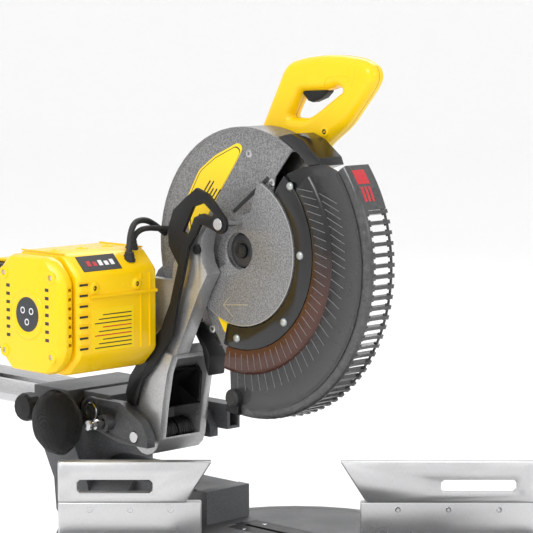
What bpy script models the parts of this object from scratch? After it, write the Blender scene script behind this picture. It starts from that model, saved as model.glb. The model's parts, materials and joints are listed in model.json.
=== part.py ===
"""Sliding compound miter saw, 305 mm blade, modelled in Blender 4.5 as separate sub-parts.

World frame in metres: origin on the floor under the turntable's pivot, +X to the operator's
right along the fence, +Y to the rear, +Z up. Sizes in the script are millimetres.
The turntable stands at its 45 degree stop, blade end swung to the operator's right.
"""
import math

import bmesh
import bpy
from mathutils import Matrix, Vector

MM = 0.001

# Driving dimensions, millimetres and degrees
MITER_ANGLE = 45.0
TABLE_TOP = 105.0
FENCE_TOP = 204.0
TURNTABLE_R = 165.0
BLADE_R = 152.4
BLADE_THICK = 1.8
BLADE_TEETH = 36
ARBOR_BACK = 75.0
ARBOR_HEIGHT = 480.0
ARBOR_R = 12.5
GUARD_R = 163.0
GUARD_HALF = 24.0
PLATE_R = 100.0
RING_R = 131.0
LOWER_R = 202.0
LOWER_CENTRE = (14.0, -10.0)
LOWER_START = -100.0
LOWER_END = 38.0
ARM_PIVOT = (-148.0, -261.0)
RAIL_R = 15.0
RAIL_V = -237.0
RAIL_N = (60.0, -26.0)
MOTOR_CENTRE = (-185.0, -82.0)
HANDLE_N = (-58.0, -28.0)
COVER_BOLT = (-51.0, 0.0)
GAP = 0.3

for old in list(bpy.data.objects):
    bpy.data.objects.remove(old, do_unlink=True)

scene_root = bpy.context.scene.collection
parts = bpy.data.collections.new("sliding_miter_saw")
cutters = bpy.data.collections.new("cutters")
scene_root.children.link(parts)
scene_root.children.link(cutters)

# Spaces: SAW is the world, TABLE turns with the miter angle, and HEAD has its origin on the
# arbor with x forward to the operator, y up and z to the left of the blade.
SAW = Matrix.Identity(4)
TABLE = Matrix.Rotation(math.radians(MITER_ANGLE), 4, "Z")
HEAD_BASIS = Matrix(((0, 0, -1, 0), (-1, 0, 0, 0), (0, 1, 0, 0), (0, 0, 0, 1)))
HEAD = TABLE @ Matrix.Translation((0, ARBOR_BACK * MM, ARBOR_HEIGHT * MM)) @ HEAD_BASIS

PAINT = {
    "yellow_plastic": ((0.95, 0.62, 0.01), 0.32, 0.0),
    "black_plastic": ((0.02, 0.02, 0.022), 0.45, 0.0),
    "grey_casting": ((0.13, 0.13, 0.14), 0.55, 0.3),
    "silver_casting": ((0.36, 0.36, 0.37), 0.5, 0.5),
    "bright_aluminium": ((0.62, 0.62, 0.63), 0.38, 0.9),
    "steel": ((0.55, 0.55, 0.56), 0.25, 1.0),
    "blade_steel": ((0.35, 0.34, 0.33), 0.3, 1.0),
    "smoke_clear": ((0.06, 0.06, 0.065), 0.12, 0.0),
    "rubber": ((0.03, 0.03, 0.03), 0.8, 0.0),
    "bag_fabric": ((0.015, 0.015, 0.016), 0.9, 0.0),
    "copper": ((0.6, 0.28, 0.15), 0.4, 1.0),
}


def make_material(name):
    """Principled material from the PAINT table, made once."""
    known = bpy.data.materials.get(name)
    if known:
        return known
    colour, rough, metal = PAINT[name]
    mat = bpy.data.materials.new(name)
    mat.use_nodes = True
    shader = mat.node_tree.nodes["Principled BSDF"]
    shader.inputs["Base Color"].default_value = (*colour, 1.0)
    shader.inputs["Roughness"].default_value = rough
    shader.inputs["Metallic"].default_value = metal
    mat.diffuse_color = (*colour, 1.0)
    return mat


def joint_empty(name, space, point, parent=None):
    """Empty on a joint's axis; the pieces that move together hang from it."""
    empty = bpy.data.objects.new(name, None)
    scene_root.objects.link(empty)
    placed = space @ Matrix.Translation(Vector(point) * MM)
    if parent:
        empty.parent = parent
        empty.matrix_parent_inverse = parent.matrix_world.inverted()
    empty.matrix_basis = placed
    bpy.context.view_layer.update()
    return empty


def place(obj, space, joint, material, local=None):
    """Give obj its place in a space, its material and its parent."""
    obj.matrix_basis = space @ (local or Matrix.Identity(4))
    if material is None:
        cutters.objects.link(obj)
        obj.hide_render = True
        obj.display_type = "WIRE"
        return obj
    parts.objects.link(obj)
    obj.data.materials.append(make_material(material))
    if joint:
        obj.parent = joint
        obj.matrix_parent_inverse = joint.matrix_world.inverted()
    return obj


def from_bmesh(name, bm):
    mesh = bpy.data.meshes.new(name)
    bm.to_mesh(mesh)
    bm.free()
    mesh.shade_smooth()
    mesh.set_sharp_from_angle(angle=math.radians(35))
    return bpy.data.objects.new(name, mesh)


def bevelled(obj, width, segments=1, angle=40):
    """Rounded edges on obj, width in millimetres."""
    if width:
        mod = obj.modifiers.new("edges", "BEVEL")
        mod.width = width * MM
        mod.segments = segments
        mod.limit_method = "ANGLE"
        mod.angle_limit = math.radians(angle)
    return obj


def box(name, space, joint, material, low, high, bevel=0.0, segments=1):
    """Box between two corners given in the space's millimetres."""
    low, high = Vector(low) * MM, Vector(high) * MM
    bm = bmesh.new()
    bmesh.ops.create_cube(bm, size=1.0)
    bmesh.ops.scale(bm, vec=high - low, verts=bm.verts)
    bmesh.ops.translate(bm, vec=(low + high) / 2, verts=bm.verts)
    obj = place(from_bmesh(name, bm), space, joint, material)
    return bevelled(obj, bevel, segments)


def rod(name, space, joint, material, start, end, radius, radius_end=None, segments=16):
    """Cylinder or cone frustum between two points."""
    start, end = Vector(start) * MM, Vector(end) * MM
    along = end - start
    bm = bmesh.new()
    bmesh.ops.create_cone(
        bm, cap_ends=True, segments=segments, radius1=radius * MM,
        radius2=(radius if radius_end is None else radius_end) * MM, depth=along.length)
    turn = along.to_track_quat("Z", "Y").to_matrix().to_4x4()
    bmesh.ops.transform(bm, matrix=Matrix.Translation((start + end) / 2) @ turn, verts=bm.verts)
    return place(from_bmesh(name, bm), space, joint, material)


def turned(name, space, joint, material, centre, axis, profile, steps=16):
    """Turned piece: profile is (radius, height) from the top down the outer side."""
    mesh = bpy.data.meshes.new(name)
    points = [(r * MM, 0.0, h * MM) for r, h in profile]
    mesh.from_pydata(points, [(i, i + 1) for i in range(len(points) - 1)], [])
    obj = bpy.data.objects.new(name, mesh)
    turn = Vector(axis).to_track_quat("Z", "Y").to_matrix().to_4x4()
    local = Matrix.Translation(Vector(centre) * MM) @ turn
    place(obj, space, joint, material, local)
    mod = obj.modifiers.new("turn", "SCREW")
    mod.steps = steps
    mod.render_steps = steps
    mod.use_merge_vertices = True
    mod.merge_threshold = 0.00001
    return obj


def curve_to_mesh(name, curve):
    """Mesh object from a curve, with its caps welded on."""
    holder = bpy.data.objects.new(name + "_curve", curve)
    scene_root.objects.link(holder)
    bpy.context.view_layer.update()
    graph = bpy.context.evaluated_depsgraph_get()
    mesh = bpy.data.meshes.new_from_object(holder.evaluated_get(graph))
    bpy.data.objects.remove(holder, do_unlink=True)
    bm = bmesh.new()
    bm.from_mesh(mesh)
    bmesh.ops.remove_doubles(bm, verts=bm.verts, dist=0.00001)
    bmesh.ops.recalc_face_normals(bm, faces=bm.faces)
    bpy.data.meshes.remove(mesh)
    return from_bmesh(name, bm)


def plate(name, space, joint, material, outlines, low, high, bevel=0.0, local=None):
    """Flat outline (and hole outlines) in the space's x,y plane, from height low to high."""
    curve = bpy.data.curves.new(name, "CURVE")
    curve.dimensions = "2D"
    curve.fill_mode = "BOTH"
    curve.extrude = (high - low) / 2 * MM
    for outline in outlines:
        spline = curve.splines.new("POLY")
        spline.points.add(len(outline) - 1)
        for point, (px, py) in zip(spline.points, outline):
            point.co = (px * MM, py * MM, 0.0, 1.0)
        spline.use_cyclic_u = True
    obj = curve_to_mesh(name, curve)
    lift = Matrix.Translation((0, 0, (low + high) / 2 * MM))
    place(obj, space, joint, material, (local or Matrix.Identity(4)) @ lift)
    return bevelled(obj, bevel)


def pipe(name, space, joint, material, points, radius):
    """Round bar or cable along a line of points."""
    curve = bpy.data.curves.new(name, "CURVE")
    curve.dimensions = "3D"
    curve.bevel_depth = radius * MM
    curve.bevel_resolution = 2
    curve.use_fill_caps = True
    spline = curve.splines.new("POLY")
    spline.points.add(len(points) - 1)
    for point, co in zip(spline.points, points):
        point.co = (*(Vector(co) * MM), 1.0)
    return place(curve_to_mesh(name, curve), space, joint, material)


def boolean(target, tool, operation):
    mod = target.modifiers.new(operation.lower(), "BOOLEAN")
    mod.operation = operation
    mod.solver = "EXACT"
    mod.object = tool


def cut(target, *tools):
    for tool in tools:
        boolean(target, tool, "DIFFERENCE")
    return target


def join(target, *tools):
    for tool in tools:
        boolean(target, tool, "UNION")
    return target


def arc(radius, start, end, count, centre=(0.0, 0.0)):
    """Points on an arc from start to end degrees, both ends included."""
    step = (end - start) / max(count - 1, 1)
    turns = [math.radians(start + i * step) for i in range(count)]
    return [(centre[0] + radius * math.cos(t), centre[1] + radius * math.sin(t)) for t in turns]


def circle(radius, count=20, centre=(0.0, 0.0)):
    return arc(radius, 0.0, 360.0 * (count - 1) / count, count, centre)


# Joint empties, each on its joint's axis
FRONT = TABLE @ Matrix(((1, 0, 0, 0), (0, 0, -1, 0), (0, 1, 0, 0), (0, 0, 0, 1)))
BEVEL_Y = 350.0
miter = joint_empty("miter_axis", TABLE, (0, 0, TABLE_TOP))
bevel = joint_empty("bevel_axis", TABLE, (0, BEVEL_Y, TABLE_TOP), miter)
slide = joint_empty("slide_axis", HEAD, (-262, RAIL_V, 17), bevel)
plunge = joint_empty("plunge_axis", HEAD, (*ARM_PIVOT, 0), slide)
arbor = joint_empty("arbor_axis", HEAD, (0, 0, 0), plunge)
rotor_axis = joint_empty("rotor_axis", HEAD, (*MOTOR_CENTRE, 0), plunge)
guard_axis = joint_empty("guard_axis", HEAD, (0, 0, 28), plunge)
LINK_TIP = (3.0, 38.0)
link_axis = joint_empty("link_axis", HEAD, (*LINK_TIP, 44), guard_axis)


def make_base():
    """Floor casting with side wings, feet, fixed fences and miter scale."""
    wing_x, wing_front, wing_rear, boss_r = 320.0, -35.0, 60.0, 186.0
    top = TABLE_TOP - GAP
    outline = [(wing_x, wing_front), (wing_x, wing_rear), (175.0, wing_rear)]
    outline += arc(boss_r, 22.0, 158.0, 13)
    outline += [(-175.0, wing_rear), (-wing_x, wing_rear), (-wing_x, wing_front)]
    base = plate("base_casting", SAW, None, "grey_casting", [outline], 22, top)
    apron = plate("apron", SAW, None, None, [circle(214.0, 31)], 21, 37)
    under = box("under_hollow", SAW, None, None, (-308, -24, 0), (308, 50, 92))
    well = plate("turntable_well", SAW, None, None, [circle(TURNTABLE_R + 1.0, 48)], 59.5, 200)
    core = plate("pivot_core", SAW, None, None, [circle(150.0, 25)], 21.5, 65)
    cut(base, under)
    join(base, core, apron)
    cut(base, well)
    for side, word in ((-1, "left"), (1, "right")):
        for y, row in ((-110.0, "front"), (120.0, "rear")):
            reach = 135.0
            rod(f"foot_{row}_{word}", SAW, None, "rubber", (side * reach, y, 0),
                (side * reach, y, 20.7), 20, 16, 20)
        inner = 126.0 if side < 0 else 84.0
        slide_in = 112.0 if side < 0 else 57.0
        low = box(f"fence_{word}", SAW, None, "bright_aluminium",
                  *corners(side, inner, 315.0, 0.3, 18.0, TABLE_TOP + GAP, 150.0), bevel=1.5)
        gusset = box("gusset_" + word, SAW, None, None,
                     *corners(side, 200.0, 212.0, 10.0, 55.0, TABLE_TOP + GAP, 140.0))
        join(low, gusset)
        carrier = joint_empty(f"sliding_fence_{word}_axis", SAW, (side * 215, 9, 177))
        upper = [(side * slide_in, FENCE_TOP), (side * 315.0, FENCE_TOP), (side * 315.0, 150.3),
                 (side * (slide_in + 34.0), 150.3)]
        if side < 0:
            upper.reverse()
        upright = Matrix(((1, 0, 0, 0), (0, 0, -1, 0), (0, 1, 0, 0), (0, 0, 0, 1)))
        tall = plate(f"sliding_fence_{word}", SAW @ upright, carrier, "bright_aluminium",
                     [upper], -18.0, -0.3, 1.5)
        window = box("window_" + word, SAW, None, None,
                     *corners(side, 190.0, 290.0, -5.0, 30.0, 162.0, 180.0), bevel=4)
        cut(tall, window)
        knob = joint_empty(f"fence_knob_{word}_axis", SAW, (side * 240, 18, 128))
        turned(f"fence_knob_{word}", SAW, knob, "black_plastic", (side * 240, 18.3, 128),
               (0, 1, 0), [(0, 34), (13, 34), (15, 31), (15, 17), (7, 14), (7, 0), (0, 0)], 14)


def corners(side, near, far, y0, y1, z0, z1):
    """Two corners of a box that mirrors across x = 0."""
    xs = sorted((side * near, side * far))
    return (xs[0], y0, z0), (xs[1], y1, z1)


def make_turntable():
    """Turning table with its miter arm, kerf plates, trunnion and handle."""
    top = TABLE_TOP
    table = plate("turntable", TABLE, miter, "grey_casting", [circle(TURNTABLE_R, 48)], 60, top)
    arm = box("miter_arm", TABLE, None, None, (-48, -365, 60.4), (48, -120, top))
    keel = box("miter_arm_keel", TABLE, None, None, (-40, -358, 40), (40, -200, 70))
    neck = box("neck", TABLE, None, None, (-40, 130, 96), (40, 150, 150))
    saddle = box("saddle", TABLE, None, None, (-40, 140, top + GAP), (40, 300, 150), bevel=3)
    drum = plate("drum", FRONT, None, None, [circle(62.0, 24, (0, top))], -BEVEL_Y + GAP, -272)
    throat = box("throat", TABLE, None, None, (-8, -340, 30), (8, 112, 120))
    ledge = box("ledge", TABLE, None, None, (-28, -330, top - 3.3), (28, 105, 120))
    join(table, arm, keel, neck, saddle, drum)
    cut(table, ledge, throat)
    kerf = [(-27.7, -329.7), (27.7, -329.7), (27.7, 104.7), (-27.7, 104.7)]
    slit = [(-4, -320), (4, -320), (4, 96), (-4, 96)]
    plate("kerf_plate", TABLE, miter, "black_plastic", [kerf, slit], top - 3.0, top - GAP)
    lock = joint_empty("miter_lock_axis", TABLE, (0, -365, 72), miter)
    turned("miter_lock_handle", TABLE, lock, "black_plastic", (0, -365.3, 72), (0, -1, 0),
           [(0, 75), (16, 74), (22, 66), (24, 40), (19, 14), (11, 8), (11, 0), (0, 0)], 14)
    latch = joint_empty("detent_lever_axis", TABLE, (0, -352, 112), miter)
    lever = box("detent_lever", TABLE, latch, "black_plastic", (-16, -398, 108), (16, -344, 114), 2)
    pad = box("detent_pad", TABLE, None, None, (-22, -412, 104), (22, -390, 113), 2)
    join(lever, pad)


def make_bevel_support():
    """Upright behind the table that tilts, carries the rails and locks the bevel."""
    rails = [(-n, ARBOR_HEIGHT + RAIL_V) for n in RAIL_N]
    rail_z = rails[0][1]
    shape = arc(62.0, 200.0, 340.0, 9, (0, TABLE_TOP))
    shape += [(62, 130), (62, rail_z + 26), (-96, rail_z + 26), (-96, rail_z - 28), (-62, 130)]
    bores = [circle(RAIL_R + 0.7, 16, centre) for centre in rails]
    plate("rail_housing", FRONT, bevel, "grey_casting", [shape] + bores, -425, -BEVEL_Y)
    pivot = joint_empty("bevel_lever_axis", TABLE, (0, 425, TABLE_TOP), bevel)
    hub = rod("bevel_lock_lever", TABLE, pivot, "black_plastic", (0, 425.3, TABLE_TOP),
              (0, 446, TABLE_TOP), 20)
    grip = rod("bevel_grip", TABLE, None, None, (0, 437, TABLE_TOP), (78, 462, 152), 8, 10, 16)
    join(hub, grip)
    knob = joint_empty("rail_lock_axis", TABLE, (-96, 404, rail_z), bevel)
    turned("rail_lock_knob", TABLE, knob, "black_plastic", (-96.3, 404, rail_z), (-1, 0, 0),
           [(0, 40), (17, 39), (20, 34), (20, 20), (8, 16), (8, 0), (0, 0)], 14)


def make_carriage():
    """Sliding carriage: ears for the arm, rails, lock-down pin and dust port."""
    pu, pv = ARM_PIVOT
    boss_at = (-237.0, RAIL_V)
    low = -273.0
    ear = [(pu + 27, low), (pu + 27, pv + 4), (pu + 14, pv + 22), (pu - 28, -217)]
    ear += arc(21.0, 70.0, 250.0, 9, boss_at)
    ear += [(-178, low)]
    body = plate("carriage", HEAD, slide, "grey_casting", [ear], 74, 88)
    right_ear = [(pu + 27, low), (pu + 27, pv + 4), (pu + 14, pv + 22), (-215, -217), (-215, low)]
    right = plate("right_ear", HEAD, None, None, [right_ear], -44, -29)
    block = box("block", HEAD, None, None, (-262, -265, -43), (-207, -212, 78))
    beam = box("beam", HEAD, None, None, (-230, -261, -66), (-100, -226, -42))
    beam_hollow = box("beam_hollow", HEAD, None, None, (-190, -257, -62), (-90, -231, -47))
    lock_boss = rod("lock_boss", HEAD, None, None, (-199, -247, 80), (-199, -247, 100), 12)
    bore = rod("pivot_bore", HEAD, None, None, (pu, pv, -100), (pu, pv, 120), 8.8)
    lock_bore = rod("lock_bore", HEAD, None, None, (-199, -247, 40), (-199, -247, 120), 6)
    web = [(-222, -226), (-180, -229), (-200, -262), (-222, -250)]
    recess = plate("web_recess", HEAD, None, None, [web], 82, 95)
    join(body, right, block, beam)
    cut(body, recess)
    join(body, lock_boss)
    cut(body, beam_hollow, bore, lock_bore)
    for n in RAIL_N:
        cut(body, rod("rail_seat", HEAD, None, None, (-290, RAIL_V, n), (-225, RAIL_V, n),
                      RAIL_R + 0.7))
    for turn in range(4):
        spread = arc(15.5, 18 + 90 * turn, 72 + 90 * turn, 3, boss_at)
        spread += arc(10.0, 72 + 90 * turn, 18 + 90 * turn, 3, boss_at)
        cut(body, plate("boss_slot", HEAD, None, None, [spread], 83, 95))
    for n, word in zip(RAIL_N, ("left", "right")):
        rod(f"rail_{word}", HEAD, slide, "steel", (-226, RAIL_V, n), (-612, RAIL_V, n),
            RAIL_R, segments=16)
    end = box("rail_end_cap", HEAD, slide, "black_plastic", (-640, RAIL_V - 22, -48),
              (-604, RAIL_V + 22, 82), bevel=5)
    for n in RAIL_N:
        cut(end, rod("cap_bore", HEAD, None, None, (-612.4, RAIL_V, n), (-560, RAIL_V, n),
                     RAIL_R + 0.7))
    turned("arm_pivot_pin", HEAD, slide, "steel", (pu, pv, -46), (0, 0, 1),
           [(0, 135), (7.5, 135), (8, 134), (8, 0.5), (7.5, 0), (0, 0)], 14)
    lock = joint_empty("lock_pin_axis", HEAD, (-199, -247, 0), slide)
    turned("head_lock_pin", HEAD, lock, "steel", (-199, -247, 78), (0, 0, 1),
           [(0, 50), (6.5, 49), (7, 46), (6, 43), (4, 42), (4, 38), (7, 37), (7, 32), (5, 31),
            (5, 0), (0, 0)], 14)
    bm = bmesh.new()
    bmesh.ops.create_uvsphere(bm, u_segments=14, v_segments=8, radius=1.0)
    bmesh.ops.scale(bm, vec=Vector((46, 46, 27)) * MM, verts=bm.verts)
    middle = Matrix.Translation(Vector((-262, -250, 128)) * MM)
    place(from_bmesh("dust_bag", bm), HEAD, slide, "bag_fabric", middle)


def make_arm():
    """Cast arm from the carriage pivot up to the arbor, with duct, spring and cover bolts."""
    pu, pv = ARM_PIVOT
    foot = arc(27.0, 200.0, 350.0, 7, ARM_PIVOT)
    low = foot + [(pu + 34, -216), (pu + 43, -172), (pu + 54, -146), (-128, -140), (-166, -190),
                  (pu - 29, -236)]
    arm = plate("swing_arm", HEAD, plunge, "silver_casting", [low], -20, 66)
    high = [(-96, -146), (-80, -115), (-50, -57), (-22, -12), (0, 20), (-24, 34), (-50, 32),
            (-79, 5), (-99, -22), (-107, -75), (-128, -142), (-118, -158)]
    upper = plate("arm_upper", HEAD, None, None, [high], 34, 58)
    hollow = arc(24.0, 185.0, 355.0, 8, ARM_PIVOT)
    hollow += [(pu + 60, -258), (pu + 90, -150), (pu + 40, -152), (-160, -196), (pu - 25, -238)]
    inside = plate("arm_hollow", HEAD, None, None, [hollow], -9, 54)
    mount = rod("motor_mount", HEAD, None, None, (*MOTOR_CENTRE, 44), (*MOTOR_CENTRE, 73.7), 50)
    shaft_way = rod("shaft_way", HEAD, None, None, (*MOTOR_CENTRE, 0), (*MOTOR_CENTRE, 90), 8)
    bore = rod("arm_bore", HEAD, None, None, (pu, pv, -60), (pu, pv, 90), 8.8)
    bolt_way = rod("bolt_way", HEAD, None, None, (*COVER_BOLT, 20), (*COVER_BOLT, 80), 3.5,
                   segments=12)
    mount_tie = box("mount_tie", HEAD, None, None, (-160, -125, 44), (-100, -45, 58))
    cut(arm, inside)
    join(arm, upper, mount, mount_tie)
    screw_way = rod("screw_way", HEAD, None, None, (0, 0, 33), (0, 0, 62), 47)
    cut(arm, shaft_way, bore, bolt_way, screw_way)
    duct = [(-118, -222), (-114, -178), (-122, -170), (-154, -198), (-163, -222)]
    inner = [(-100, -219), (-100, -175), (-124, -174), (-151, -199), (-160, -219)]
    lining = plate("dust_duct", HEAD, plunge, "black_plastic", [duct], -8.7, 53.7)
    cut(lining, plate("duct_hollow", HEAD, None, None, [inner], -5.7, 50.7))
    turns, ring = 5, 8
    coil = []
    for i in range(turns * ring + 1):
        t = 2 * math.pi * i / ring
        coil.append((pu + 18.5 * math.cos(t), pv + 18.5 * math.sin(t), -4 + 54.0 * i / turns / ring))
    pipe("torsion_spring", HEAD, plunge, "black_plastic", coil, 2.6)
    turned("cover_bolt", HEAD, plunge, "black_plastic", (*COVER_BOLT, 34.3), (0, 0, 1),
           [(0, 29), (5.5, 29), (6.5, 28), (6.5, 24.2), (3.2, 24.2), (3.2, 0), (0, 0)], 14)


def make_upper_guard():
    """Fixed blade guard, its nose and chute, and the belt case on the far side."""
    shell = arc(GUARD_R, 57.0, 196.0, 24)
    shell += [(-80, -70), (-56, -112), (-31, -146), (-14, -150), (40, -60), (50, 60), (58, 100)]
    guard = plate("upper_guard", HEAD, plunge, "silver_casting", [shell], -GUARD_HALF,
                  GUARD_HALF, 2)
    inner_r = GUARD_R - 4
    void = arc(inner_r, 30.0, 200.0, 24) + [(-60, -240), (240, -240)]
    hollow = plate("guard_hollow", HEAD, None, None, [void], -GUARD_HALF + 2.5, GUARD_HALF - 2.5)
    neck = rod("flange_way", HEAD, None, None, (0, 0, 10), (0, 0, 40), 24)
    spindle_way = rod("spindle_way", HEAD, None, None, (0, 0, -40), (0, 0, 0), 27)
    cut(guard, hollow, neck, spindle_way)
    nose = [(60, 152), (84, 157), (104, 150), (134, 128), (138, 118), (118, 112), (94, 133)]
    front = plate("guard_nose", HEAD, plunge, "black_plastic", [nose], -21, 22)
    cut(front, plate("nose_gap", HEAD, None, None, [circle(GUARD_R + 1.0, 48)], -60, 60))
    chute = [(-114, -108), (-87, -131), (-74, -150), (-78, -178), (-84, -162), (-90, -140)]
    plate("dust_chute", HEAD, plunge, "black_plastic", [chute], -16, 16)
    mu, mv = MOTOR_CENTRE
    lean = math.degrees(math.atan2(mv, mu))
    case = arc(44.0, lean + 90, lean + 270, 9) + arc(50.0, lean - 90, lean + 90, 9,
                                                        MOTOR_CENTRE)
    belt_case = plate("belt_case", HEAD, plunge, "grey_casting", [case], -62, -GUARD_HALF - GAP)
    room = arc(39.0, lean + 90, lean + 270, 9) + arc(45.0, lean - 90, lean + 90, 9,
                                                        MOTOR_CENTRE)
    cut(belt_case, plate("belt_room", HEAD, None, None, [room], -58, -34),
        rod("case_port", HEAD, None, None, (0, 0, -40), (0, 0, 0), 13.2),
        rod("case_shaft_way", HEAD, None, None, (*MOTOR_CENTRE, -40), (*MOTOR_CENTRE, 0), 8),
        rod("lock_way", HEAD, None, None, (22, -14, -70), (22, -14, -50), 10.3))


def make_drive():
    """Blade, flanges and spindle on the arbor; rotor, pulleys and belt."""
    step = 360.0 / BLADE_TEETH
    rim = []
    for tooth in range(BLADE_TEETH):
        rim += arc(BLADE_R, tooth * step, tooth * step + 0.3 * step, 2)
        rim += arc(BLADE_R - 7.0, tooth * step + 0.4 * step, tooth * step + 0.41 * step, 1)
    half = BLADE_THICK / 2
    plate("blade", HEAD, arbor, "blade_steel", [rim, circle(ARBOR_R + 0.6, 16)], -half, half)
    turned("spindle", HEAD, arbor, "steel", (0, 0, -56), (0, 0, 1),
           [(0, 57), (ARBOR_R, 57), (ARBOR_R, 0), (0, 0)], 16)
    plate("inner_flange", HEAD, arbor, "steel", [circle(24.0, 20), circle(ARBOR_R + 0.6, 16)],
          -8, -half - GAP)
    plate("outer_flange", HEAD, arbor, "black_plastic", [circle(22.5, 24), circle(7.3, 12)],
          1.3, 26)
    turned("arbor_bolt", HEAD, arbor, "black_plastic", (0, 0, 1.4), (0, 0, 1),
           [(0, 25.6), (4, 25.6), (4, 29), (9, 29), (10, 28), (10, 25.2), (6.6, 25.2), (6.6, 0),
            (0, 0)], 14)
    plate("arbor_pulley", HEAD, arbor, "bright_aluminium",
          [circle(32.0, 24), circle(ARBOR_R + 0.6, 16)], -54, -38)
    rod("rotor_shaft", HEAD, rotor_axis, "steel", (*MOTOR_CENTRE, -56), (*MOTOR_CENTRE, 212), 6)
    for name, paint, radius, low, high in (
            ("motor_pulley", "bright_aluminium", 17.0, -54, -38),
            ("armature", "copper", 34.0, 104, 180),
            ("cooling_fan", "black_plastic", 44.0, 86, 96)):
        plate(name, HEAD, rotor_axis, paint,
              [circle(radius, 20, MOTOR_CENTRE), circle(6.6, 12, MOTOR_CENTRE)], low, high)
    plate("drive_belt", HEAD, plunge, "rubber", [belt_loop(3.4), belt_loop(0.9)], -52, -40)


def belt_loop(extra, big=32.0, small=17.0):
    """Outline of the belt at a height above the pulleys' rims."""
    mu, mv = MOTOR_CENTRE
    lean = math.degrees(math.atan2(mv, mu))
    tilt = math.degrees(math.asin((big - small) / math.hypot(mu, mv)))
    wrap = 90.0 + tilt
    near = arc(big + extra, lean + 180 - wrap, lean + 180 + wrap, 12)
    far = arc(small + extra, lean - 90 + tilt, lean + 90 - tilt, 8, MOTOR_CENTRE)
    return near + far


def make_motor():
    """Motor housing and end cover, batteries and cables."""
    mu, mv = MOTOR_CENTRE
    wide, tall, chamfer = 72.0, 80.0, 26.0

    def octagon(grow):
        w, t, c = wide + grow, tall + grow, chamfer
        return [(mu + w, mv - t + c), (mu + w, mv + t - c), (mu + w - c, mv + t),
                (mu - w + c, mv + t), (mu - w, mv + t - c), (mu - w, mv - t + c),
                (mu - w + c, mv - t), (mu + w - c, mv - t)]

    shell = plate("motor_housing", HEAD, plunge, "yellow_plastic", [octagon(0)], 74, 214, 5)
    room = rod("motor_room", HEAD, None, None, (mu, mv, 80), (mu, mv, 240), 60, segments=20)
    port = rod("motor_port", HEAD, None, None, (mu, mv, 60), (mu, mv, 95), 9)
    cut(shell, room, port)
    cap = plate("motor_end_cover", HEAD, plunge, "yellow_plastic", [octagon(-3)], 214.3, 240, 8)
    cut(cap, rod("cap_room", HEAD, None, None, (mu, mv, 208), (mu, mv, 232), 50))
    for slot in range(7):
        v = mv + 34 - slot * 12
        cut(cap, box("vent", HEAD, None, None, (mu + 20, v, 220), (mu + 100, v + 4, 227)))
    for number in (1, 2):
        n0 = 78 + (number - 1) * 70
        low, high = (mu - wide - 66, mv - 58, n0), (mu - wide - 0.4, mv + 57, n0 + 66)
        axis = joint_empty(f"battery_{number}_axis", HEAD, (mu - 80, mv, n0 + 33), plunge)
        pack = box(f"battery_{number}", HEAD, axis, "black_plastic", low, high, 3)
        rib = box("battery_rib", HEAD, None, None, (low[0] - 4, low[1] + 12, n0 + 10),
                  (low[0] + 10, high[1] - 12, n0 + 56), 2)
        well = box("button_well", HEAD, None, None, (mu - wide - 51, mv + 54, n0 + 19),
                   (mu - wide - 29, mv + 70, n0 + 47))
        join(pack, rib)
        cut(pack, well)
        press = joint_empty(f"battery_button_{number}_axis", HEAD,
                            (mu - wide - 40, mv + 58, n0 + 33), axis)
        box(f"battery_button_{number}", HEAD, press, "yellow_plastic",
            (mu - wide - 50, mv + 57.4, n0 + 20), (mu - wide - 30, mv + 62, n0 + 46), 1)
    top = mv + 81
    way = [(mu + 40, top, 92), (mu + 40, top + 13, 89), (mu + 41, top + 22, 79),
           (mu + 42, top + 24, 64), (mu + 43, top + 22, 46), (mu + 43, top + 20, 24.4)]
    pipe("motor_cable", HEAD, plunge, "rubber", way, 4.5)


def make_handle():
    """D-handle, trigger and arbor lock on the far side of the guard."""
    far, near = HANDLE_N
    shift = -51.0
    outer = [(16, 140), (69, 238), (80, 247), (105, 253), (140, 257), (175, 257), (209, 253),
             (227, 243), (231, 228), (222, 213), (180, 165), (141, 138), (120, 110), (60, 100)]
    hole = [(80, 174), (99, 206), (104, 209), (146, 211), (166, 217), (176, 212), (128, 182),
            (112, 174)]
    ring = [[(x + shift, y) for x, y in outline] for outline in (outer, hole)]
    handle = plate("main_handle", HEAD, plunge, "yellow_plastic", ring, far, near, 6)
    root_cut = plate("handle_root_cut", HEAD, None, None, [circle(47.0, 24)], -64, 0)
    slot = box("trigger_slot", HEAD, None, None, (99 + shift, 198, -51), (148 + shift, 226, -35))
    cut(handle, root_cut, slot)
    grip = joint_empty("trigger_axis", HEAD, (101 + shift, 216, -43), plunge)
    trigger = [(100, 206), (110, 197), (118, 195), (135, 201), (144, 209), (146, 218), (101, 218)]
    plate("trigger", HEAD, grip, "black_plastic", [[(x + shift, y) for x, y in trigger]],
          -50, -36, 1)
    lock = joint_empty("spindle_lock_axis", HEAD, (22, -14, -62), plunge)
    turned("spindle_lock_button", HEAD, lock, "black_plastic", (22, -14, -62.3), (0, 0, -1),
           [(0, 14), (8, 14), (9.5, 12.5), (9.5, 0), (0, 0)], 14)


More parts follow.
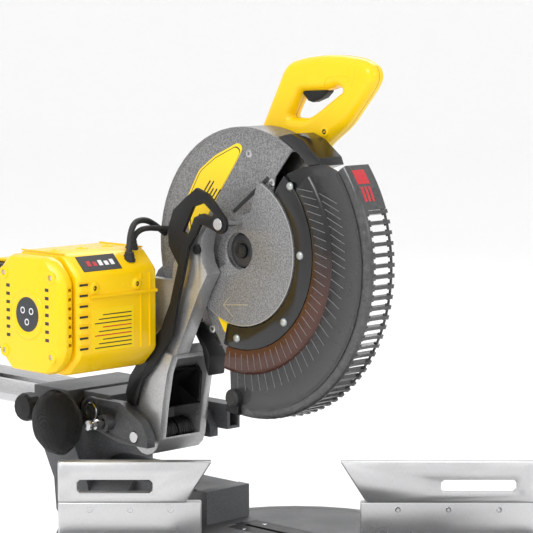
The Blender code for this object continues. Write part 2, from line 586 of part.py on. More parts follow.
def make_lower_guard():
    """Smoky lower guard that swings up over the blade, with hub plate, ring and link."""
    start, end = LOWER_START, LOWER_END
    outside = arc(LOWER_R - 3, start, end, 24, LOWER_CENTRE)
    inside = arc(RING_R - 20, end, start, 16)
    wall = plate("lower_guard", HEAD, guard_axis, "smoke_clear", [outside + inside], 25.0, 27.5)
    rim_out = LOWER_R + 10
    skin = arc(rim_out, start, end, 24, LOWER_CENTRE)
    skin += arc(LOWER_R - 7, end, start, 23, LOWER_CENTRE)
    rim = plate("guard_rim", HEAD, None, None, [skin], -20, 27.2)
    inner = arc(rim_out - 3, start - 9, end + 9, 26, LOWER_CENTRE)
    inner += arc(LOWER_R - 20, end + 9, start - 9, 20, LOWER_CENTRE)
    cut(rim, plate("rim_hollow", HEAD, None, None, [inner], -30, 24.4))
    join(wall, rim)
    ring = arc(RING_R, -104.0, 52.0, 24) + arc(PLATE_R + 1.5, 52.0, -104.0, 22)
    plate("guard_ring", HEAD, guard_axis, "black_plastic", [ring], 27.8, 31)
    hub = arc(PLATE_R, -150.0, 70.0, 30) + [(20, 52), (-4, 46), (-12, 30), (-27, 6), (-27, -20)]
    disc = plate("guard_hub_plate", HEAD, guard_axis, "silver_casting", [hub], 27.8, 32.5)
    cut(disc, rod("flange_view", HEAD, None, None, (0, 0, 20), (0, 0, 50), 24.5))
    turned("link_screw", HEAD, guard_axis, "steel", (*LINK_TIP, 32.8), (0, 0, 1),
           [(0, 43), (7, 43), (8, 42), (8, 39.6), (4, 39.6), (4, 0), (0, 0)], 16)
    turned("guard_roller", HEAD, guard_axis, "rubber", (-7, -196, 27.8), (0, 0, 1),
           [(0, 15), (9, 15), (12, 12), (12, 3), (9, 0), (0, 0)], 14)


def make_link():
    """Bent link from the carriage side up over the arm to the guard's hub."""
    outline = [(-182, -205), (-174, -182), (-147, -148), (-110, -110), (-92, -74), (-76, -21),
               (-94, 3), (-95, 27), (-85, 51), (-64, 67), (-40, 83), (-18, 76)]
    outline += arc(13.0, 50.0, -90.0, 8, LINK_TIP)
    outline += [(-16, 32), (-32, 36), (-42, 20), (-56, 4), (-62, -21), (-74, -60),
                (-88, -118), (-122, -160), (-147, -184), (-156, -205), (-162, -222),
                (-176, -222)]
    slot = [(-66, 24), (-46, 58), (-26, 64), (-8, 52), (-10, 46), (-28, 50), (-44, 44),
            (-57, 18)]
    link = plate("guard_link", HEAD, link_axis, "black_plastic", [outline, slot], 67, 72)
    hole = rod("link_eye", HEAD, None, None, (*LINK_TIP, 40), (*LINK_TIP, 80), 4.4, segments=16)
    cut(link, hole)


make_base()
make_turntable()
make_bevel_support()
make_carriage()
make_arm()
make_upper_guard()
make_drive()
make_motor()
make_handle()
make_lower_guard()
make_link()
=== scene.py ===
"""Looks for the sliding miter saw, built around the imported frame."""

import json
import math

import bmesh
import bpy
from mathutils import Matrix, Vector, noise


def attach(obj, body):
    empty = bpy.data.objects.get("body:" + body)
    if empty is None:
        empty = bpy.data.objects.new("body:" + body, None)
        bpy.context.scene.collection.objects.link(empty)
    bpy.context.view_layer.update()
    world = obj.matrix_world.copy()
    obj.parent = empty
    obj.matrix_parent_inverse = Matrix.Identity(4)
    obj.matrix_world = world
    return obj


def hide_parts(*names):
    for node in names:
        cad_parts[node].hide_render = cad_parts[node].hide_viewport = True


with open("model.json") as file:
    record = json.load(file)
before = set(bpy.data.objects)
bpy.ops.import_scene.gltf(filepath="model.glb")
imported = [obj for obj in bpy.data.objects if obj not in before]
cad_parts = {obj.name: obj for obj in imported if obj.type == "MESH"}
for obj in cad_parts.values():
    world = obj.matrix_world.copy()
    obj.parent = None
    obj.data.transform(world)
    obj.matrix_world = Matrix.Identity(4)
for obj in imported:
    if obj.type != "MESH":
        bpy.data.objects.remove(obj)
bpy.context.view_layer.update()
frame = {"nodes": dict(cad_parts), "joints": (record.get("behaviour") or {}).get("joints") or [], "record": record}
MM = 0.001
JOINTS = {j["name"]: j for j in frame["joints"]}


def joint_point(name):
    return Vector(JOINTS[name]["pos_m"])


def joint_axis(name):
    return Vector(JOINTS[name]["axis"]).normalized()


# HEAD space: origin on the arbor, x forward to the operator, y up, z to the left of the blade.
LEFT = joint_axis("blade_spin")
UP = Vector((0, 0, 1))
FORWARD = UP.cross(LEFT)
ARBOR = joint_point("blade_spin")
HEAD = Matrix.Translation(ARBOR) @ Matrix((FORWARD, UP, LEFT)).transposed().to_4x4()
TABLE = Matrix((-LEFT, -FORWARD, UP)).transposed().to_4x4()
SAW = Matrix.Identity(4)


# ---------------------------------------------------------------- materials

def node_material(name, colour, rough, metal=0.0, grain=600.0, speckle=0.06, bump=0.15,
                  patch=0.08, spread=0.08, coat=0.0, alpha=1.0, specular=0.5):
    """Principled material with fine grain, soft colour patches and uneven gloss."""
    mat = bpy.data.materials.new(name)
    mat.use_nodes = True
    tree = mat.node_tree
    links = tree.links
    shader = tree.nodes["Principled BSDF"]
    shader.inputs["Metallic"].default_value = metal
    shader.inputs["Coat Weight"].default_value = coat
    shader.inputs["Coat Roughness"].default_value = 0.15
    shader.inputs["Specular IOR Level"].default_value = specular
    shader.inputs["Alpha"].default_value = alpha
    where = tree.nodes.new("ShaderNodeTexCoord")
    fine = tree.nodes.new("ShaderNodeTexNoise")
    fine.inputs["Scale"].default_value = grain
    fine.inputs["Detail"].default_value = 4.0
    broad = tree.nodes.new("ShaderNodeTexNoise")
    broad.inputs["Scale"].default_value = 14.0
    broad.inputs["Detail"].default_value = 5.0
    links.new(where.outputs["Object"], fine.inputs["Vector"])
    links.new(where.outputs["Object"], broad.inputs["Vector"])
    tone = tree.nodes.new("ShaderNodeValToRGB")
    dark = [max(c * (1 - speckle), 0.0) for c in colour]
    light = [min(c * (1 + speckle) + speckle * 0.02, 1.0) for c in colour]
    tone.color_ramp.elements[0].position = 0.35
    tone.color_ramp.elements[1].position = 0.65
    tone.color_ramp.elements[0].color = (*dark, 1)
    tone.color_ramp.elements[1].color = (*light, 1)
    links.new(fine.outputs["Fac"], tone.inputs["Fac"])
    shade = tree.nodes.new("ShaderNodeMix")
    shade.data_type = "RGBA"
    shade.blend_type = "MULTIPLY"
    shade.inputs["Factor"].default_value = 1.0
    patches = tree.nodes.new("ShaderNodeMapRange")
    patches.inputs["From Min"].default_value = 0.3
    patches.inputs["From Max"].default_value = 0.7
    patches.inputs["To Min"].default_value = 1 - patch
    patches.inputs["To Max"].default_value = 1.0
    links.new(broad.outputs["Fac"], patches.inputs["Value"])
    links.new(tone.outputs["Color"], shade.inputs["A"])
    links.new(patches.outputs["Result"], shade.inputs["B"])
    links.new(shade.outputs["Result"], shader.inputs["Base Color"])
    gloss = tree.nodes.new("ShaderNodeMapRange")
    gloss.inputs["From Min"].default_value = 0.3
    gloss.inputs["From Max"].default_value = 0.7
    gloss.inputs["To Min"].default_value = max(rough - spread, 0.03)
    gloss.inputs["To Max"].default_value = min(rough + spread, 1.0)
    links.new(broad.outputs["Fac"], gloss.inputs["Value"])
    links.new(gloss.outputs["Result"], shader.inputs["Roughness"])
    if bump:
        relief = tree.nodes.new("ShaderNodeBump")
        relief.inputs["Strength"].default_value = bump
        relief.inputs["Distance"].default_value = 0.0004
        links.new(fine.outputs["Fac"], relief.inputs["Height"])
        links.new(relief.outputs["Normal"], shader.inputs["Normal"])
    return mat


def graded(mat, axis, start, end, colour):
    """Turns a material's colour to another one along a local axis, or outwards if axis is R."""
    tree = mat.node_tree
    shader = tree.nodes["Principled BSDF"]
    before = shader.inputs["Base Color"].links[0].from_socket
    where = tree.nodes.new("ShaderNodeTexCoord")
    if axis == "R":
        reach = tree.nodes.new("ShaderNodeVectorMath")
        reach.operation = "LENGTH"
        tree.links.new(where.outputs["Object"], reach.inputs[0])
        value = reach.outputs["Value"]
    else:
        parts = tree.nodes.new("ShaderNodeSeparateXYZ")
        tree.links.new(where.outputs["Object"], parts.inputs["Vector"])
        value = parts.outputs[axis]
    ramp = tree.nodes.new("ShaderNodeMapRange")
    ramp.inputs["From Min"].default_value = start
    ramp.inputs["From Max"].default_value = end
    tree.links.new(value, ramp.inputs["Value"])
    change = tree.nodes.new("ShaderNodeMix")
    change.data_type = "RGBA"
    change.inputs["B"].default_value = (*colour, 1)
    tree.links.new(ramp.outputs["Result"], change.inputs["Factor"])
    tree.links.new(before, change.inputs["A"])
    tree.links.new(change.outputs["Result"], shader.inputs["Base Color"])
    return mat


def woven_material(name, colour):
    """Black bag cloth: crossed threads with a soft sheen."""
    mat = node_material(name, colour, 0.85, grain=900.0, speckle=0.3, bump=0.3, specular=0.2)
    tree = mat.node_tree
    shader = tree.nodes["Principled BSDF"]
    shader.inputs["Sheen Weight"].default_value = 0.08
    where = tree.nodes.new("ShaderNodeTexCoord")
    relief = tree.nodes.new("ShaderNodeBump")
    relief.inputs["Strength"].default_value = 0.6
    relief.inputs["Distance"].default_value = 0.0005
    threads = []
    for direction in ("X", "Z"):
        wave = tree.nodes.new("ShaderNodeTexWave")
        wave.bands_direction = direction
        wave.inputs["Scale"].default_value = 420.0
        tree.links.new(where.outputs["Object"], wave.inputs["Vector"])
        threads.append(wave)
    both = tree.nodes.new("ShaderNodeMath")
    both.operation = "MAXIMUM"
    tree.links.new(threads[0].outputs["Fac"], both.inputs[0])
    tree.links.new(threads[1].outputs["Fac"], both.inputs[1])
    tree.links.new(both.outputs["Value"], relief.inputs["Height"])
    tree.links.new(relief.outputs["Normal"], shader.inputs["Normal"])
    return mat


def brushed_material(name, colour, rough=0.3, metal=1.0, stretch=(1, 1, 40)):
    """Machined metal: noise stretched along one direction for tool marks."""
    mat = node_material(name, colour, rough, metal, grain=160.0, speckle=0.12, bump=0.1)
    tree = mat.node_tree
    where = next(n for n in tree.nodes if n.type == "TEX_COORD")
    fine = next(n for n in tree.nodes if n.type == "TEX_NOISE" and
                n.inputs["Scale"].default_value == 160.0)
    squeeze = tree.nodes.new("ShaderNodeMapping")
    squeeze.inputs["Scale"].default_value = stretch
    tree.links.new(where.outputs["Object"], squeeze.inputs["Vector"])
    tree.links.new(squeeze.outputs["Vector"], fine.inputs["Vector"])
    return mat


YELLOW = node_material("yellow_shell", (0.95, 0.60, 0.002), 0.3, grain=1500, speckle=0.015,
                       bump=0.06, patch=0.03, coat=0.05, specular=0.4)
STICKER = node_material("yellow_film", (0.96, 0.66, 0.006), 0.35, grain=300, speckle=0.01,
                        bump=0.02, patch=0.02)
BLACK = node_material("black_plastic", (0.009, 0.009, 0.0095), 0.42, grain=1300, speckle=0.2,
                      bump=0.2, specular=0.25)
GLOSS = node_material("gloss_black", (0.008, 0.008, 0.009), 0.2, grain=700, speckle=0.2,
                      bump=0.06)
INK = node_material("black_film", (0.02, 0.02, 0.022), 0.4, bump=0.03)
SILVER = node_material("silver_cast", (0.22, 0.22, 0.223), 0.42, 0.35, grain=520, speckle=0.42,
                       bump=0.4, patch=0.1)
ARM = node_material("arm_cast", (0.46, 0.46, 0.465), 0.34, 0.7, grain=420, speckle=0.1,
                    bump=0.15, patch=0.12)
HUB = node_material("hub_cast", (0.21, 0.21, 0.213), 0.44, 0.3, grain=520, speckle=0.4,
                    bump=0.4, patch=0.04)
GREY = node_material("grey_cast", (0.085, 0.087, 0.092), 0.45, 0.45, grain=500, speckle=0.2,
                     bump=0.3, patch=0.15)
DARK_STEEL = node_material("blacked_steel", (0.014, 0.014, 0.015), 0.38, 0.3, grain=500,
                           speckle=0.2, bump=0.15)
BRIGHT = brushed_material("planed_aluminium", (0.62, 0.62, 0.63), 0.34, 0.85, (60, 1, 1))
STEEL = brushed_material("turned_steel", (0.56, 0.56, 0.57), 0.22)
BLADE = brushed_material("ground_blade", (0.30, 0.28, 0.27), 0.28, 1.0, (1, 1, 1))
# Painted shade and painted reflection on the smoky guard wall: darker near the hub and lighter towards the rim,
# and its strong colour patches stand for reflections.
SMOKE = node_material("smoky_clear", (0.012, 0.012, 0.013), 0.24, grain=60, speckle=0.2,
                      bump=0.0, patch=0.3, alpha=0.88, specular=0.4)
graded(SMOKE, "R", 0.16, 0.21, (0.05, 0.05, 0.052))
SMOKE_RIM = node_material("smoky_rim", (0.06, 0.06, 0.062), 0.22, grain=120, speckle=0.15,
                          bump=0.03, alpha=0.93, specular=0.6)
HAIR = node_material("moulded_line", (0.16, 0.16, 0.165), 0.3, grain=300, speckle=0.1, bump=0.0)
# Near black, turning brown lower down, for the raised crease of the lower guard.
BROWN_LOWER = node_material("brown_tint", (0.018, 0.018, 0.019), 0.22, grain=60, speckle=0.25,
                     bump=0.0, patch=0.35, alpha=0.9, specular=0.45)
graded(BROWN_LOWER, 1, 0.02, -0.06, (0.075, 0.027, 0.018))
RED = node_material("red_mark", (0.55, 0.02, 0.03), 0.4, bump=0.02)
RUBBER = node_material("rubber", (0.018, 0.018, 0.018), 0.62, grain=900, speckle=0.25, bump=0.3)
BAG = woven_material("bag_cloth", (0.006, 0.006, 0.0065))
COPPER = brushed_material("copper_wire", (0.65, 0.32, 0.18), 0.35)
RIVET = node_material("zinc_rivet", (0.45, 0.48, 0.47), 0.35, 0.8, grain=700, speckle=0.15)
WHITE = node_material("white_ink", (0.8, 0.8, 0.8), 0.5, bump=0.0)
LABEL = node_material("dark_label", (0.03, 0.032, 0.036), 0.4, bump=0.02)

SLOT_PAINT = {
    "yellow_plastic": YELLOW, "black_plastic": BLACK, "grey_casting": GREY,
    "silver_casting": SILVER, "bright_aluminium": BRIGHT, "steel": STEEL,
    "blade_steel": BLADE, "smoke_clear": SMOKE, "rubber": RUBBER, "bag_fabric": BAG,
    "copper": COPPER,
}
NODE_SLOT = {p["node"]: p["material_slot"] for p in frame["record"]["subparts"]}
SLOT_OF = {mat.name: key for key, mat in SLOT_PAINT.items()}
SLOT_OF.update({
    STICKER.name: "yellow_plastic", INK.name: "black_plastic", HUB.name: "silver_casting",
    SMOKE_RIM.name: "smoke_clear", BROWN_LOWER.name: "smoke_clear", RED.name: "rubber",
    GLOSS.name: "black_plastic", HAIR.name: "smoke_clear", ARM.name: "silver_casting",
    DARK_STEEL.name: "steel",
    RIVET.name: "steel", WHITE.name: "bright_aluminium", LABEL.name: "black_plastic",
})

for node_name, node_object in frame["nodes"].items():
    node_object.data.materials.clear()
    node_object.data.materials.append(SLOT_PAINT[NODE_SLOT[node_name]])


# ------------------------------------------------------------ mesh builders

def finish_piece(name, bm, space, body, mat, smooth=40):
    """Turns a bmesh into a piece that rides on a body."""
    mesh = bpy.data.meshes.new(name)
    bmesh.ops.recalc_face_normals(bm, faces=bm.faces)
    bm.to_mesh(mesh)
    bm.free()
    mesh.shade_smooth()
    mesh.set_sharp_from_angle(angle=math.radians(smooth))
    mesh.materials.append(mat)
    obj = bpy.data.objects.new(name, mesh)
    bpy.context.scene.collection.objects.link(obj)
    obj.matrix_world = space
    if body:
        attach(obj, body)
    return obj


def bmesh_of_curve(name, curve, merge):
    """The bmesh that a curve makes. The curve is removed."""
    holder = bpy.data.objects.new(name + "_curve", curve)
    bpy.context.scene.collection.objects.link(holder)
    graph = bpy.context.evaluated_depsgraph_get()
    mesh = bpy.data.meshes.new_from_object(holder.evaluated_get(graph))
    bpy.data.objects.remove(holder, do_unlink=True)
    bpy.data.curves.remove(curve)
    bm = bmesh.new()
    bm.from_mesh(mesh)
    bpy.data.meshes.remove(mesh)
    bmesh.ops.remove_doubles(bm, verts=bm.verts, dist=merge)
    return bm


def outline_piece(name, space, body, mat, outlines, low, high, bevel=0.0, steps=3, grow=0.0):
    """Flat outline (with holes) from low to high, its edges rounded by bevel, grown by grow."""
    curve = bpy.data.curves.new(name, "CURVE")
    curve.dimensions = "2D"
    curve.fill_mode = "BOTH"
    curve.extrude = ((high - low) / 2 - bevel) * MM
    curve.bevel_depth = bevel * MM
    curve.bevel_resolution = steps
    curve.offset = (grow - bevel) * MM
    for outline in outlines:
        spline = curve.splines.new("POLY")
        spline.points.add(len(outline) - 1)
        for point, (x, y) in zip(spline.points, outline):
            point.co = (x * MM, y * MM, 0, 1)
        spline.use_cyclic_u = True
    bm = bmesh_of_curve(name, curve, merge=0.00001)
    bmesh.ops.translate(bm, vec=(0, 0, (low + high) / 2 * MM), verts=bm.verts)
    return finish_piece(name, bm, space, body, mat)


def turned_piece(name, space, body, mat, centre, axis, profile, steps=48):
    """Turned piece from a (radius, height) profile."""
    bm = bmesh.new()
    rings = []
    for r, h in profile:
        if r == 0:
            rings.append([bm.verts.new((0, 0, h * MM))])
            continue
        turns = [2 * math.pi * i / steps for i in range(steps)]
        rings.append([bm.verts.new((r * MM * math.cos(t), r * MM * math.sin(t), h * MM))
                      for t in turns])
    for a, b in zip(rings, rings[1:]):
        for i in range(steps):
            j = (i + 1) % steps
            corner = [a[i % len(a)], a[j % len(a)], b[j % len(b)], b[i % len(b)]]
            unique = list(dict.fromkeys(corner))
            if len(unique) > 2:
                bm.faces.new(unique)
    turn = Vector(axis).to_track_quat("Z", "Y").to_matrix().to_4x4()
    bmesh.ops.transform(bm, matrix=Matrix.Translation(Vector(centre) * MM) @ turn, verts=bm.verts)
    return finish_piece(name, bm, space, body, mat)


def block_piece(name, space, body, mat, low, high, bevel=1.0, steps=2):
    """Rounded block between two corners."""
    low, high = Vector(low) * MM, Vector(high) * MM
    bm = bmesh.new()
    bmesh.ops.create_cube(bm, size=1.0)
    bmesh.ops.scale(bm, vec=high - low, verts=bm.verts)
    bmesh.ops.translate(bm, vec=(low + high) / 2, verts=bm.verts)
    if bevel:
        bmesh.ops.bevel(bm, geom=bm.edges[:], offset=bevel * MM, segments=steps, affect="EDGES")
    return finish_piece(name, bm, space, body, mat)


def tube_piece(name, space, body, mat, points, radius, sides=12, closed=False):
    """Round bar along a smoothed line of points."""
    curve = bpy.data.curves.new(name, "CURVE")
    curve.dimensions = "3D"
    curve.bevel_depth = radius * MM
    curve.bevel_resolution = max(sides // 4, 1)
    curve.resolution_u = 6
    curve.use_fill_caps = True
    spline = curve.splines.new("NURBS" if len(points) > 3 else "POLY")
    spline.points.add(len(points) - 1)
    for point, co in zip(spline.points, points):
        point.co = (*(Vector(co) * MM), 1)
    if len(points) > 3:
        spline.order_u = 3
        spline.use_endpoint_u = True
    spline.use_cyclic_u = closed
    bm = bmesh_of_curve(name, curve, merge=0.000005)
    return finish_piece(name, bm, space, body, mat)


def arc(radius, start, end, count=24, centre=(0.0, 0.0)):
    step = (end - start) / (count - 1)
    turns = [math.radians(start + i * step) for i in range(count)]
    return [(centre[0] + radius * math.cos(t), centre[1] + radius * math.sin(t)) for t in turns]


def circle(radius, count=48, centre=(0.0, 0.0)):
    return arc(radius, 0.0, 360.0 * (count - 1) / count, count, centre)


def rounded(points, radius, steps=5):
    """A polygon's outline with its corners rounded by arcs of about the radius."""
    out = []
    count = len(points)
    for i in range(count):
        before, here, after = (Vector(points[(i + k) % count]) for k in (-1, 0, 1))
        reach = min(radius, (before - here).length / 2.1, (after - here).length / 2.1)
        first = here + (before - here).normalized() * reach
        last = here + (after - here).normalized() * reach
        for k in range(steps + 1):
            t = k / steps
            out.append(tuple((1 - t) ** 2 * first + 2 * t * (1 - t) * here + t ** 2 * last))
    return out


def add_sweep(bm, profile, start, end, centre=(0, 0), steps=4):
    """Adds a closed (radius, height) profile swept from start to end degrees to a bmesh."""
    rings = []
    for i in range(steps + 1):
        t = math.radians(start + (end - start) * i / steps)
        rings.append([bm.verts.new(((centre[0] + r * math.cos(t)) * MM,
                                    (centre[1] + r * math.sin(t)) * MM, h * MM))
                      for r, h in profile])
    count = len(profile)
    for a, b in zip(rings, rings[1:]):
        for i in range(count):
            j = (i + 1) % count
            bm.faces.new((a[i], a[j], b[j], b[i]))
    bm.faces.new(rings[0])
    bm.faces.new(rings[-1])


def swept_piece(name, space, body, mat, profile, start, end, centre=(0, 0), steps=96):
    """A piece of one closed profile swept round a centre."""
    bm = bmesh.new()
    add_sweep(bm, profile, start, end, centre, steps)
    return finish_piece(name, bm, space, body, mat)


def band(r0, r1, n0, n1):
    """Rectangular profile between two radii and two heights."""
    return [(r0, n0), (r1, n0), (r1, n1), (r0, n1)]


def polar(radius, degrees):
    """A flat point at a radius and angle."""
    t = math.radians(degrees)
    return Vector((radius * math.cos(t), radius * math.sin(t)))


def add_bar(bm, start, end, width, low, high):
    """Adds a straight flat bar between two points, standing from low to high."""
    along = (end - start).normalized()
    side = Vector((-along.y, along.x)) * width / 2
    corners = [start + side, end + side, end - side, start - side]
    floor = [bm.verts.new((c.x * MM, c.y * MM, low * MM)) for c in corners]
    roof = [bm.verts.new((c.x * MM, c.y * MM, high * MM)) for c in corners]
    bm.faces.new(floor[::-1])
    bm.faces.new(roof)
    for i in range(4):
        j = (i + 1) % 4
        bm.faces.new((floor[i], floor[j], roof[j], roof[i]))


def refine(node, body, width=0.8, mat=None, segments=2):
    """A copy of a CAD node with rounded edges, shown in its place."""
    source = frame["nodes"][node]
    bm = bmesh.new()
    bm.from_mesh(source.data)
    bmesh.ops.remove_doubles(bm, verts=bm.verts, dist=0.00001)
    bmesh.ops.dissolve_limit(bm, angle_limit=math.radians(0.6), verts=bm.verts, edges=bm.edges)
    mesh = bpy.data.meshes.new(node + "_round")
    bm.to_mesh(mesh)
    bm.free()
    obj = bpy.data.objects.new(node + "_round", mesh)
    bpy.context.scene.collection.objects.link(obj)
    edge = obj.modifiers.new("edge", "BEVEL")
    edge.width = width * MM
    edge.segments = segments
    edge.limit_method = "ANGLE"
    edge.angle_limit = math.radians(28)
    graph = bpy.context.evaluated_depsgraph_get()
    made = bpy.data.meshes.new_from_object(obj.evaluated_get(graph))
    obj.modifiers.clear()
    obj.data = made
    bpy.data.meshes.remove(mesh)
    made.name = node + "_round"
    made.shade_smooth()
    made.set_sharp_from_angle(angle=math.radians(38))
    made.materials.clear()
    made.materials.append(mat or SLOT_PAINT[NODE_SLOT[node]])
    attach(obj, body)
    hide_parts(node)
    return obj


BODY_OF = {n: b for b, names in frame["record"]["behaviour"]["bodies"].items() for n in names}

# CAD nodes that get softened edges, with the rounding of each in millimetres.
SOFTENED = {
    "upper_guard": 2.2, "guard_nose": 2.5, "dust_chute": 2.0, "belt_case": 2.5,
    "motor_housing": 3.5, "motor_end_cover": 3.0, "swing_arm": 1.6, "carriage": 1.6,
    "base_casting": 1.8, "turntable": 1.6, "rail_housing": 2.0, "guard_link": 1.2,
    "dust_duct": 1.5, "fence_left": 0.8, "fence_right": 0.8, "sliding_fence_left": 1.0,
    "sliding_fence_right": 1.0, "battery_1": 3.0, "battery_2": 3.0, "miter_lock_handle": 2.0,
    "bevel_lock_lever": 1.5, "rail_end_cap": 2.0, "detent_lever": 1.2, "guard_hub_plate": 0.9,
    "guard_ring": 0.7, "trigger": 1.2, "outer_flange": 0.8, "arbor_bolt": 0.6,
}
REPAINTED = {
    "guard_hub_plate": HUB, "swing_arm": ARM, "outer_flange": DARK_STEEL,
    "arbor_bolt": DARK_STEEL, "guard_nose": GLOSS, "guard_ring": GLOSS,
}


def soften_all():
    for node, width in SOFTENED.items():
        if node in frame["nodes"]:
            refine(node, BODY_OF[node], width, REPAINTED.get(node))


# -------------------------------------------------------------- lower guard

GUARD_CENTRE = (14, -10)
GUARD_START = -100
GUARD_END = 38


def lower_guard():
    """Smoky guard: thin wall, raised crease, slanted ribs and a slotted rim."""
    edge = arc(200, GUARD_START, GUARD_END, 72, GUARD_CENTRE)
    top = [(150, 121), (112, 116), (84, 106)]
    inner = arc(111, 50, GUARD_START - 3, 48)
    wall = outline_piece("guard_wall", HEAD, "lower_guard", SMOKE, [edge + top + inner], 25, 27.4)
    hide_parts("lower_guard")
    raised = [(131.8, 27.2), (131.8, 30.2), (136, 31.4), (158, 31.4), (162.5, 29.6), (164, 27.2)]
    swept_piece("guard_step", HEAD, "lower_guard", BROWN_LOWER, raised, -101, 40, (0, 0), 112)
    bm = bmesh.new()
    for k in range(31):
        start = -98 + k * 4.6
        slant = 5 + 9 * start / 30 if start > 0 else 5 * (1 + start / 75)
        for r0, r1, low in ((137, 158, 31.2), (163.5, 186, 27.3)):
            add_bar(bm, polar(r0, start - slant * (r0 - 137) / 49),
                    polar(r1, start - slant * (r1 - 137) / 49), 0.8, low, low + 0.6)
    finish_piece("guard_ribs", bm, HEAD, "lower_guard", HAIR)
    rim = bmesh.new()
    lip = [(194.5, 25.2), (205, 25.6), (209.6, 24.4), (212, 22.2), (212, 17.5), (209, 17.5),
           (209, 21.6), (207.6, 22.8), (200, 22.8), (194.5, 23.2)]
    add_sweep(rim, lip, GUARD_START, GUARD_END, GUARD_CENTRE, 96)
    add_sweep(rim, band(208.0, 210.5, -19, -16.8), GUARD_START, GUARD_END, GUARD_CENTRE, 96)
    finger = [(206.4, 18.0), (209.5, 20.6), (212.5, 19.6), (212.2, 8), (212.0, -8),
              (213.2, -14), (214.2, -18.5), (213.0, -20.4), (208.5, -20.4), (206.4, -17)]
    for k in range(33):
        start = GUARD_START + 1 + k * 3.7
        add_sweep(rim, finger, start, start + 1.35, GUARD_CENTRE, 2)
        for n0, n1 in ((13, 18), (-18, -13)):
            add_sweep(rim, band(208.2, 211, n0, n1), start - 0.5, start + 1.85, GUARD_CENTRE, 2)
    add_sweep(rim, band(208.8, 212, -20, 18.6), 21, GUARD_END, GUARD_CENTRE, 12)
    finish_piece("guard_rim", rim, HEAD, "lower_guard", SMOKE_RIM, 55)
    swept_piece("guard_lip_line", HEAD, "lower_guard", INK, band(194.6, 196.0, 25.2, 26.6),
                GUARD_START + 2, GUARD_END - 1, GUARD_CENTRE, 90)
    swept_piece("rim_mark_plate", HEAD, "lower_guard", RED, band(212, 212.25, -6, 16),
                30.5, 36, GUARD_CENTRE, 10)
    for row in range(3):
        swept_piece(f"rim_mark_bar_{row}", HEAD, "lower_guard", RED,
                    band(212, 212.25, -4 + row * 7, 0 + row * 7), 24, 29.5, GUARD_CENTRE, 8)
    lip_end = arc(211, GUARD_START - 1.5, GUARD_START + 5, 6, GUARD_CENTRE)
    foot = arc(192, GUARD_START + 5, GUARD_START - 1.5, 6, GUARD_CENTRE)
    outline_piece("guard_lip_end", HEAD, "lower_guard", BLACK, [lip_end + foot], 24.6, 31, 1.0)
    for k, (u, v) in enumerate(((92, 90), (110, 2), (81, -87), (-6, -117))):
        turned_piece(f"ring_rivet_{k}", HEAD, "lower_guard", RIVET, (u, v, 31), (0, 0, 1),
                     [(0, 3.1), (2.5, 2.9), (4.6, 2.1), (5.6, 0.6), (5.7, -0.6), (0, -0.6)], 28)


def hub_details():
    """Engraved turning arrow on the hub plate, and the bolt's socket."""
    for name, start, end in (("tail", (-30, -74), (16, -70)), ("upper", (-30, -74), (-17, -62)),
                             ("lower", (-30, -74), (-12, -88))):
        along = (Vector(end) - Vector(start)).normalized()
        side = Vector((-along.y, along.x)) * 0.5
        bar = [tuple(Vector(start) + side), tuple(Vector(end) + side), tuple(Vector(end) - side),
               tuple(Vector(start) - side)]
        outline_piece(f"hub_arrow_{name}", HEAD, "lower_guard", BRIGHT, [bar], 32.3, 32.75)
    # Painted highlight: a thin bright band along the lit part of the hub plate's edge.
    bm = bmesh.new()
    add_sweep(bm, band(98.6, 99.3, 32.2, 32.65), -146, 66, (0, 0), 80)
    finish_piece("hub_edge_lines", bm, HEAD, "lower_guard", BRIGHT)
    turned_piece("flange_face", HEAD, "blade_arbor", LABEL, (0, 0, 0), (0, 0, 1),
                 [(10.4, 26.05), (15.0, 26.15), (15.6, 26.7), (20.6, 26.7), (21.9, 26.05)], 64)
    hexagon = circle(4.4, 6)
    outline_piece("bolt_socket_rim", HEAD, "blade_arbor", DARK_STEEL, [circle(9.2, 40), hexagon],
                  30.2, 31.6, 0.5)
    outline_piece("bolt_socket_floor", HEAD, "blade_arbor", INK, [circle(4.6, 24)], 30.3, 30.6)


GUARD_FACE = 24.0


